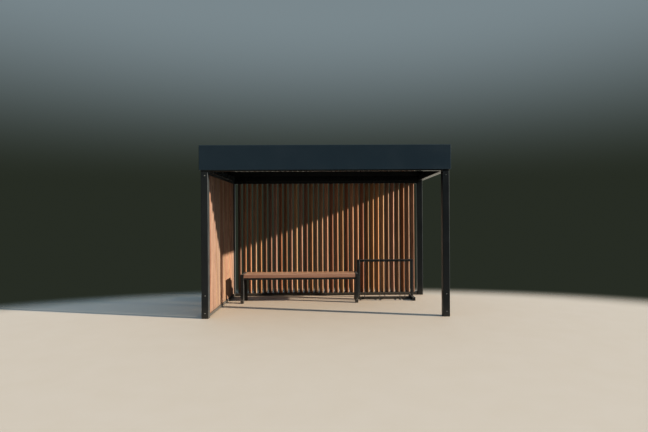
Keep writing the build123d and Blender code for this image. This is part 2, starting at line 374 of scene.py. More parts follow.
def skin(bm, rings, capped=True):
    """Faces between rings of as many points, and over the first and the last where capped."""
    for near, far in zip(rings, rings[1:]):
        for side in range(len(near)):
            after = (side + 1) % len(near)
            bm.faces.new((near[side], near[after], far[after], far[side]))
    if capped:
        bm.faces.new(reversed(rings[0]))
        bm.faces.new(rings[-1])


def lathe(bm, placing, profile, sides=20, hexagon=()):
    """A turned solid from (radius, height) pairs; the rings listed in hexagon are six-sided."""
    rings = []
    for number, (radius, height) in enumerate(profile):
        ring = []
        for side in range(sides):
            angle = math.tau * side / sides
            reach = radius
            if number in hexagon:
                reach *= math.cos(math.pi / 6) / math.cos(angle % (math.pi / 3) - math.pi / 6)
            point = Vector((reach * math.cos(angle), reach * math.sin(angle), height))
            ring.append(bm.verts.new(placing @ point))
        rings.append(ring)
    skin(bm, rings)


def dome_bolt(bm, point, direction, scale=1.0):
    """A button head with a six-sided socket on a flat washer."""
    placing = facing(point, direction)
    radius = bolt_head_radius * scale
    top = (washer_thickness + bolt_head_height) * scale
    washer = washer_thickness * scale
    rim = washer_radius * scale
    socket = bolt_socket_radius * scale
    lathe(bm, placing, [
        (rim, 0.0),
        (rim, washer * 0.75),
        (rim * 0.96, washer),
        (radius * 1.02, washer),
    ])
    lathe(bm, placing, [
        (radius, washer * 0.5),
        (radius, washer * 1.3),
        (radius * 0.93, washer + (top - washer) * 0.45),
        (radius * 0.74, washer + (top - washer) * 0.8),
        (radius * 0.52, top),
        (socket * 1.12, top),
        (socket * 1.02, top - 0.0004),
        (socket, top - bolt_socket_depth * scale),
    ], sides=24, hexagon=(6, 7))


def set_piece(bm, name, material, crease=35):
    """Turns a mesh into a finished piece of the shelter."""
    mesh = bpy.data.meshes.new(name)
    bmesh.ops.recalc_face_normals(bm, faces=bm.faces)
    bm.to_mesh(mesh)
    bm.free()
    mesh.shade_smooth()
    mesh.set_sharp_from_angle(angle=math.radians(crease))
    mesh.materials.append(material)
    piece = bpy.data.objects.new(name, mesh)
    bpy.context.scene.collection.objects.link(piece)
    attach(piece, "root")
    return piece


bolts = bmesh.new()
for node in post_nodes:
    low_corner, high_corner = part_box(node)
    middle = (low_corner + high_corner) / 2
    outward = -1 if middle.y < 0 else 1
    face = low_corner.y if outward < 0 else high_corner.y
    for height in post_bolt_heights:
        dome_bolt(bolts, (middle.x, face, height), (0, outward, 0))
set_piece(bolts, "post_bolts", stainless_steel)

# Beams: a ring of square tube with the posts' own coat. The short pair is welded between the
# long pair, with a bead along every joint.
beam_nodes = ["beam_front", "beam_back", "beam_left", "beam_right"]
beam_finish = coated_steel(
    "beam_powder_coat", anthracite, anthracite_chalked,
    chalking=0.3, gloss=0.24, runs=0.15, splash_reach=0.02, splash=0.0,
)
finish_nodes(beam_nodes, beam_finish)
beam_weld_radius = 0.0028
beam_corner = 0.008
weld_step = 0.0045
weld_ripple = 0.22
weld_unevenness = 0.1
weld_sides = 6
weld_random = random.Random(11)


def weld(bm, corners, radius):
    """A rippled bead laid round a closed run of corners."""
    stops = []
    for start, end in zip(corners, corners[1:] + corners[:1]):
        steps = max(2, round((end - start).length / weld_step))
        stops += [start.lerp(end, step / steps) for step in range(steps)]
    rings = []
    for number, stop in enumerate(stops):
        along = (stops[(number + 1) % len(stops)] - stops[number - 1]).normalized()
        upright = abs(along.z) > 0.9
        across = (along.orthogonal() if upright else along.cross((0, 0, 1))).normalized()
        up = across.cross(along)
        uneven = weld_random.uniform(-weld_unevenness, weld_unevenness)
        swell = radius * (1 + weld_ripple * (number % 2) + uneven)
        points = circle(stop, across, up, swell, weld_sides)
        rings.append([bm.verts.new(point) for point in points])
    skin(bm, rings + rings[:1], capped=False)


def weld_tube(bm, node, axis, ends=(0, 1), radius=0.002, corner=0.004, inset=0.0):
    """Beads round the ends of a square tube that lies along axis 0, 1 or 2."""
    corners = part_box(node)
    across, up = [other for other in (0, 1, 2) if other != axis]
    half = (corners[1] - corners[0]) / 2
    for end in ends:
        middle = (corners[0] + corners[1]) / 2
        middle[axis] = corners[end][axis] + (-inset if end else inset)
        run = []
        for a, b in ((-1, -1), (1, -1), (1, 1), (-1, 1)):
            for cut_across, cut_up in ((0, 1), (1, 0)) if a * b > 0 else ((1, 0), (0, 1)):
                point = middle.copy()
                point[across] += a * (half[across] - corner * cut_across)
                point[up] += b * (half[up] - corner * cut_up)
                run.append(point)
        weld(bm, run, radius)


beam_welds = bmesh.new()
for node in ("beam_left", "beam_right"):
    weld_tube(beam_welds, node, 1, radius=beam_weld_radius, corner=beam_corner)
set_piece(beam_welds, "beam_welds", beam_finish)

beam_wall = 0.005
cap_depth = 0.004
cap_inset = 0.0015
beam_caps = bmesh.new()
for node in ("beam_front", "beam_back"):
    low_corner, high_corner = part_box(node)
    middle = (low_corner + high_corner) / 2
    size = high_corner - low_corner
    for x, inward in ((low_corner.x, 1), (high_corner.x, -1)):
        at = Vector((x + inward * (cap_inset + cap_depth / 2), middle.y, middle.z))
        shape = Matrix.Diagonal((cap_depth, size.y - 2 * beam_wall, size.z - 2 * beam_wall, 1))
        bmesh.ops.create_cube(beam_caps, size=1.0, matrix=Matrix.Translation(at) @ shape)
set_piece(beam_caps, "beam_caps", beam_finish)

# Parapet frame: light square tube that stands on the beams and carries the fascia, with three
# purlins under the roof sheet. It shows only from above and from under the eaves.
parapet_nodes = ["parapet_uprights", "parapet_rails_long", "parapet_rails_short", "purlins"]
parapet_finish = coated_steel(
    "parapet_powder_coat", anthracite, anthracite_chalked,
    chalking=0.5, gloss=0.5, runs=0.2, splash_reach=0.02, splash=0.0,
)
finish_nodes(parapet_nodes, parapet_finish)

# Roof sheet: ribbed steel, coated dark on both sides, with the underside painted near black as painted
# shade, screwed to the purlins through the crests of its ribs with sealing washers, and a folded box
# gutter of the same sheet.
roof_nodes = ["roof_deck", "roof_gutter"]
# The underside colour is near black: painted shade for the ceiling under the roof.
sheet_underside_painted_shade = (0.0080, 0.0084, 0.0086, 1)
sheet_top = (0.030, 0.036, 0.040, 1)
sheet_chalked = (0.055, 0.060, 0.064, 1)
sheet_dirt = (0.075, 0.066, 0.052, 1)
sheet_peel = 0.00004
sheet_specular = 0.15
rib_pitch = 0.2
rib_height = 0.035
deck_fall = 0.025
purlin_width = 0.040
screw_head_radius = 0.0055
screw_washer_radius = 0.0085

roof_finish, tree, shader = new_material("roof_sheet_coat")
coat = with_effect(
    tree, powder_coat, Paint=sheet_top, Chalk=sheet_chalked, Chalking=0.8, Gloss=0.46, Run_Marks=0.1
)
edges = with_effect(tree, edge_wear, Width=steel_arris, Wear=0.3)
place = object_place(tree)
upward = eased(tree, face_direction(tree)["Z"], 0.05, 0.4)
washed = cloudy(tree, stretched(tree, place, (22, 1.1, 1)), 1, 5, 0.65)
leaf_dust = eased(tree, cloudy(tree, place, 55, 4, 0.7), 0.35, 0.6)
silt = product(tree, eased(tree, washed, 0.42, 0.7), leaf_dust, 0.6, upward)
# Faces that look down get the near-black underside colour, painted shade; faces that look up get the
# coat.
colour = tinted(tree, upward, sheet_underside_painted_shade, coat["Color"])
colour = tinted(tree, silt, colour, sheet_dirt)
rough = math_of(tree, "MULTIPLY_ADD", silt, 0.35, coat["Roughness"])
peel = raised(tree, coat["Height"], sheet_peel, edges["Normal"])
dress(tree, shader, colour, rough, peel, sheet_specular)
finish_nodes(roof_nodes, roof_finish)

deck_low, deck_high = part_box("roof_deck")
deck_middle = (deck_low + deck_high) / 2
rib_count = int((deck_high.x - deck_low.x) // rib_pitch)
purlins_low, purlins_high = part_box("purlins")
purlin_rows = (
    purlins_low.y + purlin_width / 2,
    (purlins_low.y + purlins_high.y) / 2,
    purlins_high.y - purlin_width / 2,
)
screws = bmesh.new()
for y in purlin_rows:
    for rib in range(rib_count):
        x = deck_middle.x + (rib - (rib_count - 1) / 2) * rib_pitch
        z = deck_high.z - (y - deck_low.y) * deck_fall
        placing = facing((x, y, z), (0, deck_fall, 1))
        lathe(screws, placing, [
            (screw_washer_radius, -0.0004),
            (screw_washer_radius, 0.0008),
            (screw_washer_radius * 0.9, 0.0016),
            (screw_head_radius * 1.1, 0.0018),
        ], sides=16)
        lathe(screws, placing, [
            (screw_head_radius, 0.0014),
            (screw_head_radius, 0.0052),
            (screw_head_radius * 0.88, 0.0060),
        ], sides=18, hexagon=(0, 1, 2))
set_piece(screws, "roof_screws", stainless_steel)

# Flashings: folded strips that stand against the parapet frame and lap over the roof sheet at
# its front and sides, and into the gutter at the back. They keep rain and daylight out.
flashing_sheet = 0.001
flashing_lap = 0.052
flashing_drop = 0.010
flashing_below = 0.022
flashing_screw_pitch = 0.35
flashing_screw_scale = 0.62
parapet_tube = 0.040
parapet_gap = 0.0005
flashing_end_gap = 0.003
side_bedding = 0.0008
crest_bedding = 0.0012
crest_extra_lap = 0.02
gutter_strip_gap = 0.0022
gutter_strip_dip = 0.014


def loft(bm, near, far):
    """A closed skin between two loops with as many points."""
    skin(bm, [[bm.verts.new(point) for point in loop] for loop in (near, far)])


def flashing_section(lap_height, foot_height, lap):
    """A strip's section as pairs of distance from the parapet and height."""
    sheet = flashing_sheet
    return [
        (0, flashing_top), (sheet, flashing_top), (sheet, lap_height + sheet), (lap, lap_height + sheet),
        (lap, lap_height), (sheet, lap_height), (sheet, foot_height), (0, foot_height),
    ]


def deck_height(y):
    """The height of the roof sheet's flat part at a distance along its fall."""
    return deck_high.z - rib_height - (y - deck_low.y) * deck_fall


rails_low, rails_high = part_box("parapet_rails_long")
flashing_top = rails_high.z - flashing_drop
parapet_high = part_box("parapet_uprights")[1]
parapet_depth = parapet_tube + parapet_gap
parapet_inside = Vector((parapet_high.x - parapet_depth, parapet_high.y - parapet_depth, 0))
flashings = bmesh.new()
for side in (-1, 1):
    loops = []
    for y in (-parapet_inside.y, parapet_inside.y - flashing_end_gap):
        lap_height = deck_height(y) + side_bedding
        section = flashing_section(lap_height, lap_height - flashing_below, flashing_lap)
        loops.append([(side * (parapet_inside.x - away), y, z) for away, z in section])
    loft(flashings, *loops)
crest = deck_height(deck_low.y) + rib_height + crest_bedding
crest_lap = flashing_lap + crest_extra_lap
loops = []
for x in (-parapet_inside.x, parapet_inside.x):
    section = flashing_section(crest, crest - rib_height - flashing_below, crest_lap)
    loops.append([(x, -parapet_inside.y + away, z) for away, z in section])
loft(flashings, *loops)
gutter_low, gutter_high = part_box("roof_gutter")
strip_foot = gutter_high.z - gutter_strip_dip
strip_face = gutter_strip_gap + flashing_sheet
loops = []
for x in (gutter_low.x + flashing_end_gap, gutter_high.x - flashing_end_gap):
    section = [(gutter_strip_gap, flashing_top), (strip_face, flashing_top)]
    section += [(strip_face, strip_foot), (gutter_strip_gap, strip_foot)]
    loops.append([(x, parapet_high.y - parapet_tube - away, z) for away, z in section])
loft(flashings, *loops)
set_piece(flashings, "roof_flashings", roof_finish)

flashing_screws = bmesh.new()
screw_height = (flashing_top + rails_low.z) / 2
screw_face_side = parapet_inside.x - flashing_sheet
screw_face_front = -parapet_inside.y + flashing_sheet
screw_face_back = parapet_high.y - parapet_tube - strip_face
long_count = int(2 * parapet_inside.x // flashing_screw_pitch)
short_count = int(2 * parapet_inside.y // flashing_screw_pitch)
for number in range(long_count + 1):
    x = (number - long_count / 2) * flashing_screw_pitch
    for y, direction in ((screw_face_front, (0, 1, 0)), (screw_face_back, (0, -1, 0))):
        dome_bolt(flashing_screws, (x, y, screw_height), direction, flashing_screw_scale)
for number in range(short_count + 1):
    y = (number - short_count / 2) * flashing_screw_pitch
    for x, direction in ((-screw_face_side, (1, 0, 0)), (screw_face_side, (-1, 0, 0))):
        dome_bolt(flashing_screws, (x, y, screw_height), direction, flashing_screw_scale)
set_piece(flashing_screws, "flashing_screws", stainless_steel)

# Fascia: folded steel sheet round the roof, mitred at the corners, riveted from below through its
# bottom return. So wide a sheet is never quite flat.
fascia_nodes = ["fascia_front", "fascia_right", "fascia_back", "fascia_left"]
fascia_paint = (0.0290, 0.0450, 0.0565, 1)
fascia_chalked = (0.0375, 0.0530, 0.0640, 1)
fascia_peel = 0.00003
fascia_waves = 0.006
dust_depth = 0.005
dust_blend = 0.007
rivet_radius = 0.0034
rivet_pitch = 0.36
rivet_margin = 0.06
return_middle = 0.0105
fascia_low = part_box("fascia_front")[0]
fascia_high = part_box("fascia_back")[1]

fascia_finish, tree, shader = new_material("fascia_powder_coat")
coat = with_effect(
    tree, powder_coat, Paint=fascia_paint, Chalk=fascia_chalked, Chalking=0.5, Gloss=0.36, Run_Marks=0.35
)
edges = with_effect(tree, edge_wear, Width=0.004, Wear=0.4)
place = object_place(tree)
height = parts_of(tree, place)["Z"]
dust_foot = fascia_high.z - dust_depth
dust_line = eased(tree, height, dust_foot, dust_foot + dust_blend)
patchy = eased(tree, cloudy(tree, place, 30, 4, 0.7), 0.35, 0.7)
dust = product(tree, dust_line, patchy, 0.35)
colour = tinted(tree, edges["Mask"], coat["Color"], anthracite_rubbed)
colour = tinted(tree, dust, colour, sheet_dirt)
rough = math_of(tree, "MULTIPLY_ADD", dust, 0.3, coat["Roughness"])
waves = cloudy(tree, stretched(tree, place, (1.3, 1.3, 2.6)), 1, 1)
rolling = raised(tree, waves, fascia_waves, edges["Normal"])
peel = raised(tree, coat["Height"], fascia_peel, rolling)
dress(tree, shader, colour, rough, peel, sheet_specular)
finish_nodes(fascia_nodes, fascia_finish)

# Each row of rivets has the axis along it and the one across it, its reach and its edge.
rivets = bmesh.new()
long_row = (0, 1, fascia_high.x, fascia_high.y)
short_row = (1, 0, fascia_high.y, fascia_high.x)
for along, across, reach, edge in (long_row, short_row):
    count = int((2 * reach - 2 * rivet_margin) // rivet_pitch)
    for number in range(count + 1):
        for side in (-1, 1):
            point = [0, 0, fascia_low.z]
            point[along] = (number - count / 2) * rivet_pitch
            point[across] = side * (edge - return_middle)
            lathe(rivets, facing(point, (0, 0, -1)), [
                (rivet_radius, -0.0002),
                (rivet_radius, 0.0003),
                (rivet_radius * 0.8, 0.0010),
                (rivet_radius * 0.36, 0.0013),
                (rivet_radius * 0.30, 0.0008),
            ], sides=12)
set_piece(rivets, "fascia_rivets", fascia_finish)

# Louvre walls: rails of flat tube between the posts, and planed softwood boards with eased
# arrises, stained brown and set between the rails at one angle, each a little bowed by weather.
rail_nodes = ["back_rail_bottom", "back_rail_top", "left_rail_bottom", "left_rail_top"]
rail_finish = coated_steel(
    "rail_powder_coat", anthracite, anthracite_chalked,
    chalking=0.4, gloss=0.48, runs=0.15, splash_reach=0.22, splash=0.6,
)
finish_nodes(rail_nodes, rail_finish)
board_width = 0.088
board_thickness = 0.026
board_arris = 0.003
board_pitch = 0.095
board_turn = math.radians(127.5)
board_bow = 0.0012
rail_weld_radius = 0.0022
rail_weld_inset = 0.001
rail_corner = 0.005
rail_welds = bmesh.new()
for node in rail_nodes:
    axis = 0 if node.startswith("back") else 1
    weld_tube(
        rail_welds, node, axis, radius=rail_weld_radius, corner=rail_corner, inset=rail_weld_inset
    )
set_piece(rail_welds, "rail_welds", rail_finish)

stain_early = (0.42, 0.254, 0.156, 1)
stain_late = (0.190, 0.096, 0.052, 1)
stain_knot = (0.075, 0.034, 0.018, 1)
stain_worn = (0.48, 0.34, 0.23, 1)
grain_relief = 0.00035

# Timber grain: growth rings cut by the saw, fine fibres along the board, knots, and the tone
# that each board has of its own. The boards carry their own coordinates.
timber_grain, given, made = new_effect(
    "timber_grain",
    {
        "Early Wood": ("Color", stain_early),
        "Late Wood": ("Color", stain_late),
        "Knots": ("Color", stain_knot),
        "Ring Width": ("Float", 0.0042),
        "Knots Apart": ("Float", 0.44),
    },
    {"Color": "Color", "Roughness": "Float", "Height": "Float"},
)
tree = timber_grain
attribute = tree.nodes.new("ShaderNodeAttribute")
attribute.attribute_name = "grain"
grain_place = attribute.outputs["Vector"]
look = tree.nodes.new("ShaderNodeAttribute")
look.attribute_name = "board_look"
look_parts = parts_of(tree, look.outputs["Vector"])
knot_cells = tree.nodes.new("ShaderNodeTexVoronoi")
knot_size = math_of(tree, "DIVIDE", 1.0, given["Knots Apart"])
feed(tree, knot_cells.inputs["Vector"], stretched(tree, grain_place, (1.6, 1.6, 0.62)))
feed(tree, knot_cells.inputs["Scale"], knot_size)
knot_core = eased(tree, knot_cells.outputs["Distance"], 0.025, 0.055, 1.0, 0.0)
knot_halo = eased(tree, knot_cells.outputs["Distance"], 0.04, 0.17, 1.0, 0.0)
waver = cloudy(tree, stretched(tree, grain_place, (7, 7, 1.4)), 1, 3, 0.5, "Color")
waver = stretched(tree, waver, (0.016, 0.016, 0.0))
wavy = vector_of(tree, "ADD", grain_place, waver)
from_pith = vector_of(tree, "LENGTH", stretched(tree, wavy, (1, 1, 0)))
pushed = math_of(tree, "MULTIPLY_ADD", knot_halo, 0.007, from_pith)
rings = math_of(tree, "FRACT", math_of(tree, "DIVIDE", pushed, given["Ring Width"]))
late = product(tree, eased(tree, rings, 0.25, 0.86), eased(tree, rings, 0.90, 1.0, 1.0, 0.0))
fibre = cloudy(tree, stretched(tree, grain_place, (900, 900, 14)), 1, 3, 0.6)
streak = cloudy(tree, stretched(tree, grain_place, (60, 60, 1.1)), 1, 4, 0.6)
streak = eased(tree, streak, 0.35, 0.65)
depth = product(tree, late, 0.44)
depth = math_of(tree, "MULTIPLY_ADD", streak, 0.40, depth)
depth = math_of(tree, "MULTIPLY_ADD", eased(tree, fibre, 0.4, 0.62), 0.22, depth)
depth = math_of(tree, "SUBTRACT", depth, look_parts["X"], clamp=True)
colour = tinted(tree, depth, given["Early Wood"], given["Late Wood"])
hue = math_of(tree, "MULTIPLY_ADD", look_parts["Y"], 0.022, 0.5)
saturation = math_of(tree, "SUBTRACT", 1.0, look_parts["Z"])
warmth = tree.nodes.new("ShaderNodeHueSaturation")
feed(tree, warmth.inputs["Hue"], hue)
feed(tree, warmth.inputs["Saturation"], saturation)
feed(tree, warmth.inputs["Color"], colour)
feed(tree, made["Color"], tinted(tree, knot_core, warmth.outputs["Color"], given["Knots"]))
feed(tree, made["Roughness"], math_of(tree, "MULTIPLY_ADD", depth, -0.14, 0.72))
relief = math_of(tree, "MULTIPLY_ADD", fibre, 0.5, product(tree, late, 0.35))
feed(tree, made["Height"], math_of(tree, "SUBTRACT", relief, knot_core))


def stained_timber(name, early, late_wood, worn_and_top_lit, ring_width, splash_reach, top_fade_and_light=0.0):
    """A stained softwood finish with its own colours, paler on faces that look up: partly faded, partly
    a painted highlight.
    """
    material, tree, shader = new_material(name)
    wood = with_effect(
        tree, timber_grain,
        Early_Wood=early, Late_Wood=late_wood, Knots=stain_knot, Ring_Width=ring_width,
    )
    edges = with_effect(tree, edge_wear, Width=0.0025, Wear=0.6, Patches=22.0)
    dirt = with_effect(tree, ground_splash, Reach=splash_reach, Amount=0.45)
    top_dust_and_light_mask = with_effect(tree, dust_and_top_light, Amount=top_fade_and_light, Grain=7.0)
    # Tops turn paler: fading by the sun, and a painted highlight where the low lamp falls.
    colour = tinted(tree, top_dust_and_light_mask["Mask"], wood["Color"], worn_and_top_lit)
    colour = tinted(tree, edges["Mask"], colour, worn_and_top_lit)
    colour = tinted(tree, dirt["Mask"], colour, road_dust)
    relief = raised(tree, wood["Height"], grain_relief, edges["Normal"])
    dress(tree, shader, colour, wood["Roughness"], relief, specular=0.35)
    return material


def board_outline(width, thickness, arris, steps=3):
    """A board's section: a rectangle with rounded arrises."""
    points = []
    for corner, (right, up) in enumerate(((1, 1), (-1, 1), (-1, -1), (1, -1))):
        for step in range(steps + 1):
            angle = math.pi / 2 * (corner + step / steps)
            points.append((
                right * (width / 2 - arris) + arris * math.cos(angle),
                up * (thickness / 2 - arris) + arris * math.sin(angle),
            ))
    return points


def lay_board(bm, placing, shape, chance, spread=0.42, weathering=0.04, stations=10):
    """Adds one board along its own Z axis, with rounded ends and the grain of one log."""
    width, thickness, length, arris, bow = shape
    grain = bm.verts.layers.float_vector["grain"]
    look = bm.verts.layers.float_vector["board_look"]
    pith = Vector((chance.uniform(-0.03, 0.03), chance.choice((-1, 1)) * chance.uniform(0.02, 0.11), 0))
    lean = Vector((chance.uniform(-0.012, 0.012), chance.uniform(-0.016, 0.016), 1))
    start = Vector((0, 0, chance.uniform(0, 40)))
    paler = chance.uniform(-spread, spread * 0.7)
    yellower = chance.uniform(-0.5, 0.5)
    greyer = chance.uniform(-0.14, 0.14)
    tone = Vector((paler - weathering, yellower, greyer + weathering))
    bend = Vector((chance.uniform(-bow, bow), chance.uniform(-bow, bow), 0))
    ease = arris * 0.7
    outline = board_outline(width, thickness, arris)
    inner = board_outline(width - 2 * ease, thickness - 2 * ease, arris * 0.5)
    levels = [(0.0, inner), (ease, outline)]
    levels += [(length * step / stations, outline) for step in range(1, stations)]
    levels += [(length - ease, outline), (length, inner)]
    rings = []
    for height, section in levels:
        share = height / length
        aside = bend * (4 * share * (1 - share))
        ring = []
        for across, through in section:
            own = Vector((across, through, height))
            vert = bm.verts.new(placing @ (own + aside))
            vert[grain] = own + pith + lean * height + start - Vector((0, 0, height))
            vert[look] = tone
            ring.append(vert)
        rings.append(ring)
    skin(bm, rings)


def new_timber():
    """An empty mesh whose points can carry grain coordinates and a board's own tone."""
    bm = bmesh.new()
    bm.verts.layers.float_vector.new("grain")
    bm.verts.layers.float_vector.new("board_look")
    return bm


def even_shading(piece):
    """Keeps broad faces flat where they meet rounded arrises."""
    shading = piece.modifiers.new("even_shading", "WEIGHTED_NORMAL")
    shading.keep_sharp = True
    shading.weight = 100


wall_stain = stained_timber(
    "wall_stain", stain_early, stain_late, stain_worn, ring_width=0.0042, splash_reach=0.16
)
# Each wall's name, turn, random seed, spread of tone, and how far weather has darkened it.
walls = (("back", 0.0, 5, 0.48, 0.0), ("left", math.radians(90), 23, 0.20, 0.14))
board_screw_radius = 0.0042
board_screw_sink = 0.0006
board_screw_places = ((-0.020, 0.020), (0.022, 0.034))
screw_face = board_thickness / 2 - board_screw_sink
board_screws = bmesh.new()
for side, turn, seed, spread, weathering in walls:
    node = side + "_slats"
    low_corner, high_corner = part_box(node)
    middle = (low_corner + high_corner) / 2
    along = Vector((1, 0, 0)) if side == "back" else Vector((0, 1, 0))
    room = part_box(side + "_rail_bottom")
    clear = (room[1] - room[0]).dot(along)
    count = int(clear // board_pitch)
    length = high_corner.z - low_corner.z
    shape = (board_width, board_thickness, length, board_arris, board_bow)
    chance = random.Random(seed)
    boards = new_timber()
    for number in range(count):
        from_middle = (number - (count - 1) / 2) * board_pitch
        foot = Vector((middle.x, middle.y, low_corner.z)) + along * from_middle
        placing = Matrix.Translation(foot) @ Matrix.Rotation(board_turn + turn, 4, "Z")
        lay_board(boards, placing, shape, chance, spread, weathering)
        outward = placing.to_3x3() @ Vector((0, 1, 0))
        for across, from_end in board_screw_places:
            for height in (from_end, length - from_end):
                spot = placing @ Vector((across, screw_face, height))
                lathe(board_screws, facing(spot, outward), [
                    (board_screw_radius * 0.9, 0.0),
                    (board_screw_radius, 0.0007),
                    (board_screw_radius * 0.94, 0.0010),
                    (board_screw_radius * 0.42, 0.0010),
                    (board_screw_radius * 0.34, 0.0001),
                ], sides=12, hexagon=(3, 4))
    piece = set_piece(boards, side + "_boards", wall_stain, crease=80)
    even_shading(piece)
    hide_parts(node)

set_piece(board_screws, "board_screws", stainless_steel)

# Bench: two end frames of flat tube welded square, two rails and four cross bars between them,
# all in black powder coat, with plastic plugs in the open tube ends.
bench_nodes = [
    "bench_leg_front_left", "bench_leg_rear_left", "bench_leg_front_right", "bench_leg_rear_right",
    "bench_bearer_left", "bench_bearer_right", "bench_rails", "bench_cross_bars",
]
black = (0.0135, 0.0135, 0.0130, 1)
black_chalked = (0.030, 0.030, 0.029, 1)
plug_black = (0.016, 0.016, 0.016, 1)
plug_scuffed = (0.035, 0.034, 0.032, 1)
pebble_relief = 0.0001
bench_finish = coated_steel(
    "bench_powder_coat", black, black_chalked,
    chalking=0.4, gloss=0.40, runs=0.1, splash_reach=0.16, splash=0.5,
)
finish_nodes(bench_nodes, bench_finish)

plug_plastic, tree, shader = new_material("plug_plastic")
pebble = cloudy(tree, object_place(tree), 1100, 2)
scuffs = eased(tree, cloudy(tree, object_place(tree), 90, 4, 0.7), 0.5, 0.75)
colour = tinted(tree, scuffs, plug_black, plug_scuffed)
dress(tree, shader, colour, eased(tree, scuffs, 0, 1, 0.5, 0.7), raised(tree, pebble, pebble_relief))
finish_nodes(["tube_plugs"], plug_plastic)

bench_welds = bmesh.new()
for end in ("left", "right"):
    for leg in ("front", "rear"):
        weld_tube(bench_welds, f"bench_leg_{leg}_{end}", 2, ends=(1,))
set_piece(bench_welds, "bench_welds", bench_finish)

# Seat: four thick planed boards with rounded edges, stained redder than the walls, screwed up
# from below through the rails and cross bars.
seat_early = (0.48, 0.285, 0.178, 1)
seat_late = (0.26, 0.134, 0.076, 1)
seat_worn_and_top_lit = (0.56, 0.37, 0.25, 1)
seat_edge = 0.005
seat_bow = 0.0004
seat_screw_scale = 0.8
bench_bolt_height = 0.052
# The seat's top is painted paler: partly sun fading, partly a painted highlight from the low lamp.
seat_stain = stained_timber(
    "seat_stain", seat_early, seat_late, seat_worn_and_top_lit, ring_width=0.0050, splash_reach=0.02, top_fade_and_light=0.5
)
chance = random.Random(41)
lengthwise = Matrix(((0, 0, 1), (1, 0, 0), (0, 1, 0))).to_4x4()
for number in (1, 2, 3, 4):
    node = f"seat_board_{number}"
    low_corner, high_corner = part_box(node)
    size = high_corner - low_corner
    middle = (low_corner + high_corner) / 2
    placing = Matrix.Translation((low_corner.x, middle.y, middle.z)) @ lengthwise
    board = new_timber()
    lay_board(board, placing, (size.y, size.z, size.x, seat_edge, seat_bow), chance, stations=8)
    piece = set_piece(board, f"seat_timber_{number}", seat_stain, crease=80)
    even_shading(piece)
    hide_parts(node)

seat_screws = bmesh.new()
bars_low, bars_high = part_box("bench_cross_bars")
rails_low, rails_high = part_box("bench_rails")
bar_width = 0.040
bar_count = 4
bar_pitch = (bars_high.x - bars_low.x - bar_width) / (bar_count - 1)
for bar in range(bar_count):
    x = bars_low.x + bar_width / 2 + bar * bar_pitch
    for number in (2, 3):
        seat_low, seat_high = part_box(f"seat_board_{number}")
        y = (seat_low.y + seat_high.y) / 2
        dome_bolt(seat_screws, (x, y, bars_low.z), (0, 0, -1), seat_screw_scale)
    for y in (rails_low.y + bar_width / 2, rails_high.y - bar_width / 2):
        dome_bolt(seat_screws, (x, y, rails_low.z), (0, 0, -1), seat_screw_scale)
for end in ("left", "right"):
    for leg, outward in (("front", -1), ("rear", 1)):
        leg_low, leg_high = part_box(f"bench_leg_{leg}_{end}")
        x = (leg_low.x + leg_high.x) / 2
        y = leg_low.y if outward < 0 else leg_high.y
        dome_bolt(seat_screws, (x, y, bench_bolt_height), (0, outward, 0), seat_screw_scale)
set_piece(seat_screws, "bench_screws", stainless_steel)

# Bicycle rack: an upright frame of square tube with a foot at its far end, and three holders of
# bent round rod welded to its rails, in the bench's black coat.
rack_nodes = ["rack_post_left", "rack_post_right", "rack_top_rail", "rack_bottom_rail", "rack_foot"]
rod_radius = 0.006
rod_reach = 0.150
rod_bend = 0.045
rod_half_spacing = 0.0435
rod_weld_radius = 0.0018
rod_weld_inset = 0.0006
rod_weld_points = 12
rack_bolt_heights = (0.13, 0.40)
foot_bolt_inset = 0.045
rack_finish = coated_steel(
    "rack_powder_coat", black, black_chalked,
    chalking=0.4, gloss=0.40, runs=0.1, splash_reach=0.18, splash=0.55,
)
finish_nodes(rack_nodes, rack_finish)


def bent_path(stops, radius, steps=7):
    """Points along straight runs with a round bend at each inner stop."""
    points = [stops[0]]
    for before, corner, after in zip(stops, stops[1:], stops[2:]):
        back = (before - corner).normalized()
        on = (after - corner).normalized()
        middle = corner + (back + on) * radius
        for step in range(steps + 1):
            angle = math.pi / 2 * step / steps
            points.append(middle - on * radius * math.cos(angle) - back * radius * math.sin(angle))
    points.append(stops[-1])
    return points


def rod(bm, points, radius, sides=14):
    """A round rod along points that lie in one upright plane."""
    across = Vector((1, 0, 0))
    rings = []
    for number, middle in enumerate(points):
        ahead = points[min(number + 1, len(points) - 1)]
        behind = points[max(number - 1, 0)]
        up = (ahead - behind).normalized().cross(across)
        ring = circle(middle, across, up, radius, sides)
        rings.append([bm.verts.new(point) for point in ring])
    skin(bm, rings)


rail_low, rail_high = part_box("rack_bottom_rail")
low_rod_z = (rail_low.z + rail_high.z) / 2
rail_face = rail_low.y
for name in ("left", "middle", "right"):
    node = "wheel_holder_" + name
    low_corner, high_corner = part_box(node)
    middle = (low_corner.x + high_corner.x) / 2
    top_rod_z = high_corner.z - rod_radius
    holder = bmesh.new()
    for side in (-1, 1):
        x = middle + side * rod_half_spacing
        front = rail_face - rod_reach
        stops = [
            Vector((x, rail_face, top_rod_z)),
            Vector((x, front, top_rod_z)),
            Vector((x, front, low_rod_z)),
            Vector((x, rail_face, low_rod_z)),
        ]
        rod(holder, bent_path(stops, rod_bend), rod_radius)
        for z in (top_rod_z, low_rod_z):
            joint = Vector((x, rail_face - rod_weld_inset, z))
            ring = circle(joint, Vector((1, 0, 0)), Vector((0, 0, 1)), rod_radius, rod_weld_points)
            weld(holder, ring, rod_weld_radius)
    piece = set_piece(holder, "holder_" + name, rack_finish, crease=50)
    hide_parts(node)

rack_welds = bmesh.new()
weld_tube(rack_welds, "rack_post_left", 2, ends=(1,))
weld_tube(rack_welds, "rack_post_right", 2)
weld_tube(rack_welds, "rack_bottom_rail", 0)
set_piece(rack_welds, "rack_welds", rack_finish)

